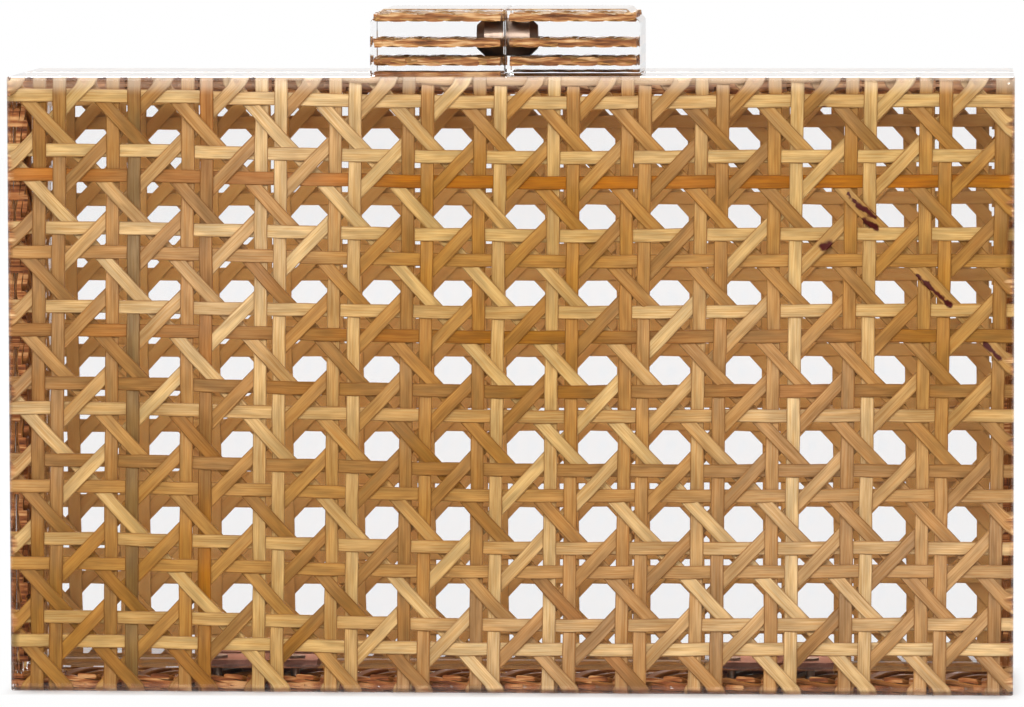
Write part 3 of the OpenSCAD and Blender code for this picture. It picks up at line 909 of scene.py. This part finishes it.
def join_meshes(name, meshes, material):
    """One piece from several meshes of the same material."""
    builder = bmesh.new()
    for mesh in meshes:
        builder.from_mesh(mesh)
    joined = bpy.data.meshes.new(name)
    builder.to_mesh(joined)
    builder.free()
    joined.materials.append(material)
    return new_piece(name, joined)


# How a flat web is turned to lie in each side of the case, as rows of world x, y and z
TURNS = {
    "front": Matrix(((1, 0, 0), (0, 0, -1), (0, 1, 0))),
    "back": Matrix(((-1, 0, 0), (0, 0, 1), (0, 1, 0))),
    "top": Matrix.Identity(3),
    "bottom": Matrix(((1, 0, 0), (0, -1, 0), (0, 0, -1))),
    "left": Matrix(((0, 0, -1), (0, 1, 0), (1, 0, 0))),
    "right": Matrix(((0, 0, 1), (0, 1, 0), (-1, 0, 0))),
}


def face_weave(name, half, hole, chosen, material, pull, seed):
    """The web of the front or back face."""
    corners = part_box(half + "_cane")
    rng = random.Random(seed)
    mesh = weave_between(name, corners, TURNS[half], hole, rng, chosen=chosen, material=material, pull=pull)
    return new_piece(name, mesh)


def wall_weave(name, way, seed):
    """Narrow webs in the four walls of a half. way is -1 in front, 1 behind."""
    rng = random.Random(seed)
    start = way * (INNER_Y - STRIP_RIM)
    end = way * (SEAM_Y + STRIP_RIM)
    clear = way * STRIP_CLEAR
    side_x = CASE_W / 2 - WALL_T / 2
    long_x = CASE_W / 2 - STRIP_RIM
    low_z = WALL_T + STRIP_RIM
    spans = {
        "top": ((-long_x, start, CASE_H - WALL_T / 2), (long_x, end, CASE_H - WALL_T / 2)),
        "bottom": ((-long_x, start, WALL_T / 2 - STRIP_DROP), (long_x, clear, WALL_T / 2 - STRIP_DROP)),
        "left": ((-side_x, start, low_z), (-side_x, end, CASE_H - low_z)),
        "right": ((side_x, start, low_z), (side_x, end, CASE_H - low_z)),
    }
    meshes = []
    for wall, corners in spans.items():
        edge = (TURNS[wall].transposed() @ Vector(corners[0])).y
        inward = -1 if (TURNS[wall].transposed() @ Vector(corners[1])).y < edge else 1
        hole = (rng.uniform(-HOLE_STAGGER, HOLE_STAGGER) * MM, edge + inward * (STRAND_Z + STRAND_W / 2))
        meshes.append(weave_between(
            name, corners, TURNS[wall], hole, rng,
            thickness=STRIP_STRAND_T, wave=STRIP_WAVE, tones=WALL_TONES
        ))
    return join_meshes(name, meshes, WALL_CANE)


# Clasp
def clasp_mesh(name, low, high, way):
    """A clear block with a bevelled top outer corner. way is -1 on the left, 1 on the right."""
    builder = bmesh.new()
    weight = builder.edges.layers.float.new("bevel_weight_edge")
    split = (high.x if way < 0 else low.x) - way * MAGNET_COVER
    end = low.x if way < 0 else high.x
    outline = [
        (end, low.z),
        (split, low.z),
        (split, high.z),
        (end - way * CLASP_BEVEL, high.z),
        (end, high.z - CLASP_BEVEL),
    ]
    front = [builder.verts.new((x, low.y, z)) for x, z in outline]
    back = [builder.verts.new((x, high.y, z)) for x, z in outline]
    builder.faces.new(front)
    builder.faces.new(back)
    for a in range(len(outline)):
        b = (a + 1) % len(outline)
        builder.faces.new((front[a], front[b], back[b], back[a]))
    for edge in builder.edges:
        edge[weight] = 1.0
    return mesh_from(builder, name)


def clear_clasp(name, node, way):
    """Clear block of the clasp, lifted over the other half."""
    low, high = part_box(node)
    piece = new_piece(name, clasp_mesh(name, low, high, way))
    soften = piece.modifiers.new("soften", "BEVEL")
    soften.limit_method = "WEIGHT"
    soften.width = CLASP_ROUND
    soften.segments = CLASP_ROUND_STEPS
    settle(piece)
    ends = sorted((way * SEAM_Y, -way * (high.y + MM)))
    under_low = (low.x - MM, ends[0], low.z - MM)
    under_high = (high.x + MM, ends[1], low.z + CLASP_LIFT)
    carve(piece, new_piece("under", block_mesh("under", under_low, under_high)))
    return dress(piece, ACRYLIC)


def clasp_weave(name, hand, way, seed):
    """Three close webs of cane laid flat in a clasp block, open around the magnet, and a thin pad under
    its foot."""
    rng = random.Random(seed)
    low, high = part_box(hand + "_clasp_cane")
    block_low, block_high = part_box(hand + "_clasp_block")
    hold_low, hold_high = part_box(hand + "_magnet")
    room = Vector((MAGNET_ROOM, MAGNET_ROOM, 0))
    meshes = []
    for share in CLASP_LAYERS:
        level = block_low.z + share * (block_high.z - block_low.z)
        corners = ((low.x, low.y, level), (high.x, high.y, level))
        hole_y = low.y + CLASP_SCALE * STRAND_Z + STRAND_W / 2
        hole = (rng.uniform(-HOLE_STAGGER, HOLE_STAGGER) * MM, hole_y)
        gap = (hold_low - room, hold_high + room)
        meshes.append(weave_between(
            name, corners, TURNS["top"], hole, rng, CLASP_SCALE,
            gap=gap, thickness=CLASP_STRAND_T, wave=CLASP_WAVE
        ))
    glued = way * (SEAM_Y + low.x - block_low.x)
    edge = low.y if way < 0 else high.y
    level = block_low.z + FOOT_T / 2
    corners = ((low.x, edge, level), (high.x, glued, level))
    hole = (0.0, edge - way * CLASP_SCALE * STRAND_Z)
    meshes.append(weave_between(
        name, corners, TURNS["top"], hole, rng, CLASP_SCALE, thickness=FOOT_STRAND_T, wave=FOOT_WAVE
    ))
    return join_meshes(name, meshes, CANE)


# Build the pieces and tie them to the solids
def place_piece(piece, body, slot, *stands_for):
    """Rides a piece on its half and hides the solids it stands for."""
    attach(piece, body)
    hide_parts(*stands_for)


# Strands of the front web that stand out: where each runs, and its tone
FRONT_UPRIGHTS = [(-80.3 * MM, 0.62), (-67.25 * MM, 1.06), (-54.2 * MM, 0.76)]
FRONT_LEVELS = [(105.1 * MM, 0.06), (96.3 * MM, 0.0), (91.1 * MM, 0.86), (63.4 * MM, 0.74)]
MIDDLE_Z = CASE_H / 2
front_hole = (FRONT_SHIFT[0], MIDDLE_Z + FRONT_SHIFT[1])
back_hole = (-BACK_SHIFT[0], MIDDLE_Z + BACK_SHIFT[1])
front_pull = (FRONT_SKEW, (BOW_SIDE, BOW_UP))
front_tones = (FRONT_UPRIGHTS, FRONT_LEVELS)
front_weave = face_weave(
    "front_cane_weave", "front", front_hole, front_tones, MARKED_CANE, front_pull, SEED
)
place_piece(front_weave, "front_half", "cane", "front_cane")
back_weave = face_weave(
    "back_cane_weave", "back", back_hole, ((), ()), CANE, (BACK_SKEW, ()), SEED + 1
)
place_piece(back_weave, "back_half", "cane", "back_cane")
WALLS = ("panel", "backing", "top_wall", "bottom_wall", "left_wall", "right_wall")
for half, side in (("front", -1), ("back", 1)):
    tray = clear_half(half + "_clear_tray", side)
    place_piece(tray, half + "_half", "acrylic", *(half + "_" + wall for wall in WALLS))
    strips = wall_weave(half + "_wall_weave", side, SEED + 20 + side)
    place_piece(strips, half + "_half", "cane", half + "_wall_cane")
for hand, side, half in (("left", -1, "front_half"), ("right", 1, "back_half")):
    block = clear_clasp(hand + "_clear_clasp", hand + "_clasp_block", side)
    place_piece(block, half, "acrylic", hand + "_clasp_block")
    layers = clasp_weave(hand + "_clasp_weave", hand, side, SEED + 5 + side)
    place_piece(layers, half, "cane", hand + "_clasp_cane")
for name in ("left_magnet", "right_magnet"):
    dress(nodes[name], NICKEL)
HINGE_NODES = ("front_leaf", "back_leaf", "hinge_pin")
for hand in ("left", "right"):
    for part in HINGE_NODES:
        dress(nodes[hand + "_" + part], STEEL)
for name in ("front_screws", "back_screws"):
    dress(nodes[name], NICKEL)


# Floor, light and camera
FLOOR_X = 1.6
FLOOR_Y = (-0.4, 2.0)
FLOOR_Z = -0.4 * MM
FLOOR_SCALE = 3.0
FLOOR_TONES = ((0.86, 0.86, 0.86, 1), (0.9, 0.9, 0.9, 1))
SHADOW_EDGE = (-1 * MM, 2.5 * MM)
SHADOW_SHARE = (0.1, 0.97)
SOFT_WORLD = 0.4
# Light from the dim side of the room, in front, that the clear faces mirror
ROOM = 0.08
LENS = 255.59
SENSOR = 36.0
CAMERA_PLACE = (0.081, -1.3, 0.1551)
CAMERA_YAW = -0.0629
CAMERA_PITCH = 0.0738
CAMERA_ROLL = -0.0022
LAMP_TARGET = (0, 0, 0.05)
# Each lamp's place, the length of its side and its power
LAMPS = {
    "key lamp": ((-0.31, -1.25, 0.56), 0.4, 10.6),
    "fill lamp": ((0.47, -1.25, 0.56), 0.4, 8.2),
    "back lamp": ((0.1, 1.2, 0.7), 0.8, 16.0),
    "top lamp": ((0, -0.1, 1.3), 0.9, 4.0),
}


def pale_floor():
    """A plain pale floor that keeps the case's shadow, meets the white behind it and is clear from
    below."""
    material, tree, output = new_material("pale_floor")
    place = put(tree, "ShaderNodeTexCoord").outputs["Object"]
    cloud = noise_of(tree, place, FLOOR_SCALE).outputs["Fac"]
    colour = blend_of(tree, cloud, *FLOOR_TONES)
    matt = put(tree, "ShaderNodeBsdfDiffuse", {"Color": colour})
    glow = put(tree, "ShaderNodeEmission", {"Color": (1, 1, 1, 1), "Strength": 1.0})
    path = put(tree, "ShaderNodeLightPath").outputs
    seen = sum_of(tree, "MAXIMUM", path["Is Camera Ray"], path["Is Glossy Ray"])
    seen = sum_of(tree, "MAXIMUM", seen, path["Is Transmission Ray"])
    x, y = put(tree, "ShaderNodeSeparateXYZ", {0: place}).outputs[:2]
    past_x = sum_of(tree, "SUBTRACT", sum_of(tree, "ABSOLUTE", x), CASE_W / 2)
    past_y = sum_of(tree, "SUBTRACT", sum_of(tree, "ABSOLUTE", y), HALF_D)
    past = sum_of(tree, "MAXIMUM", past_x, past_y)
    clear = spread_of(tree, past, *SHADOW_EDGE, *SHADOW_SHARE)
    mirrored = sum_of(tree, "GREATER_THAN", path["Glossy Depth"], 0.5)
    ahead = spread_of(tree, y, -2 * HALF_D, -HALF_D, 1.0 - ROOM, 0.0)
    bright = sum_of(tree, "SUBTRACT", 1.0, sum_of(tree, "MULTIPLY", mirrored, ahead))
    tree.links.new(bright, glow.inputs["Strength"])
    share = sum_of(tree, "MULTIPLY", seen, clear)
    joined = put(tree, "ShaderNodeMixShader", {0: share, 1: matt.outputs[0], 2: glow.outputs[0]})
    under = put(tree, "ShaderNodeNewGeometry").outputs["Backfacing"]
    open_below = put(tree, "ShaderNodeBsdfTransparent").outputs[0]
    one_sided = put(tree, "ShaderNodeMixShader", {0: under, 1: joined.outputs[0], 2: open_below})
    tree.links.new(one_sided.outputs[0], output.inputs["Surface"])
    mesh = bpy.data.meshes.new("floor")
    near, far = FLOOR_Y
    spots = [(-FLOOR_X, near), (FLOOR_X, near), (FLOOR_X, far), (-FLOOR_X, far)]
    mesh.from_pydata([(x, y, FLOOR_Z) for x, y in spots], [], [(0, 1, 2, 3)])
    mesh.materials.append(material)
    new_piece("floor", mesh)


def white_world():
    """White behind the case, with softer light from it on the case, and a dim room in front of it."""
    world = bpy.data.worlds.new("studio")
    world.use_nodes = True
    tree = world.node_tree
    tree.nodes.clear()
    soft = put(tree, "ShaderNodeBackground", {"Color": (1, 1, 1, 1), "Strength": SOFT_WORLD})
    white = put(tree, "ShaderNodeBackground", {"Color": (1, 1, 1, 1), "Strength": 1.0})
    room = put(tree, "ShaderNodeBackground", {"Color": (1, 1, 1, 1), "Strength": ROOM})
    path = put(tree, "ShaderNodeLightPath").outputs
    heading = put(tree, "ShaderNodeTexCoord").outputs["Generated"]
    ahead = put(tree, "ShaderNodeSeparateXYZ", {0: heading}).outputs["Y"]
    behind_case = spread_of(tree, ahead, -0.2, 0.1)
    mirrored = sum_of(tree, "GREATER_THAN", path["Glossy Depth"], 0.5)
    dimmed = sum_of(tree, "MULTIPLY", mirrored, sum_of(tree, "SUBTRACT", 1.0, behind_case))
    backdrop = put(tree, "ShaderNodeMixShader", {0: dimmed, 1: white.outputs[0], 2: room.outputs[0]})
    seen = sum_of(tree, "MAXIMUM", path["Is Camera Ray"], path["Is Glossy Ray"])
    seen = sum_of(tree, "MAXIMUM", seen, path["Is Transmission Ray"])
    joined = put(tree, "ShaderNodeMixShader", {0: seen, 1: soft.outputs[0], 2: backdrop.outputs[0]})
    put(tree, "ShaderNodeOutputWorld", {"Surface": joined.outputs[0]})
    world.cycles.sampling_method = "NONE"
    bpy.context.scene.world = world


def soft_lamp(name, place, target, size, power):
    """A square soft lamp aimed at a point."""
    lamp = bpy.data.lights.new(name, "AREA")
    lamp.size = size
    lamp.energy = power
    holder = bpy.data.objects.new(name, lamp)
    holder.location = place
    holder.rotation_euler = (Vector(target) - Vector(place)).to_track_quat("-Z", "Y").to_euler()
    bpy.context.scene.collection.objects.link(holder)


def photo_camera():
    """The camera at the photograph's place: a long lens, a little right of the middle and above."""
    lens = bpy.data.cameras.new("camera")
    lens.sensor_width = SENSOR
    lens.lens = LENS
    level = math.cos(CAMERA_PITCH)
    forward = Vector((
        math.sin(CAMERA_YAW) * level,
        math.cos(CAMERA_YAW) * level,
        -math.sin(CAMERA_PITCH),
    ))
    across = forward.cross(Vector((0, 0, 1))).normalized()
    upward = across.cross(forward)
    right = math.cos(CAMERA_ROLL) * across + math.sin(CAMERA_ROLL) * upward
    up = right.cross(forward)
    turn = Matrix((right, up, -forward)).transposed().to_4x4()
    holder = bpy.data.objects.new("camera", lens)
    holder.matrix_world = Matrix.Translation(CAMERA_PLACE) @ turn
    bpy.context.scene.collection.objects.link(holder)
    bpy.context.scene.camera = holder


pale_floor()
white_world()
for name, (place, size, power) in LAMPS.items():
    soft_lamp(name, place, LAMP_TARGET, size, power)
photo_camera()
scene = bpy.context.scene
scene.view_settings.view_transform = "Standard"
scene.cycles.max_bounces = 10
scene.cycles.diffuse_bounces = 3
scene.cycles.transmission_bounces = 10
scene.cycles.transparent_max_bounces = 20
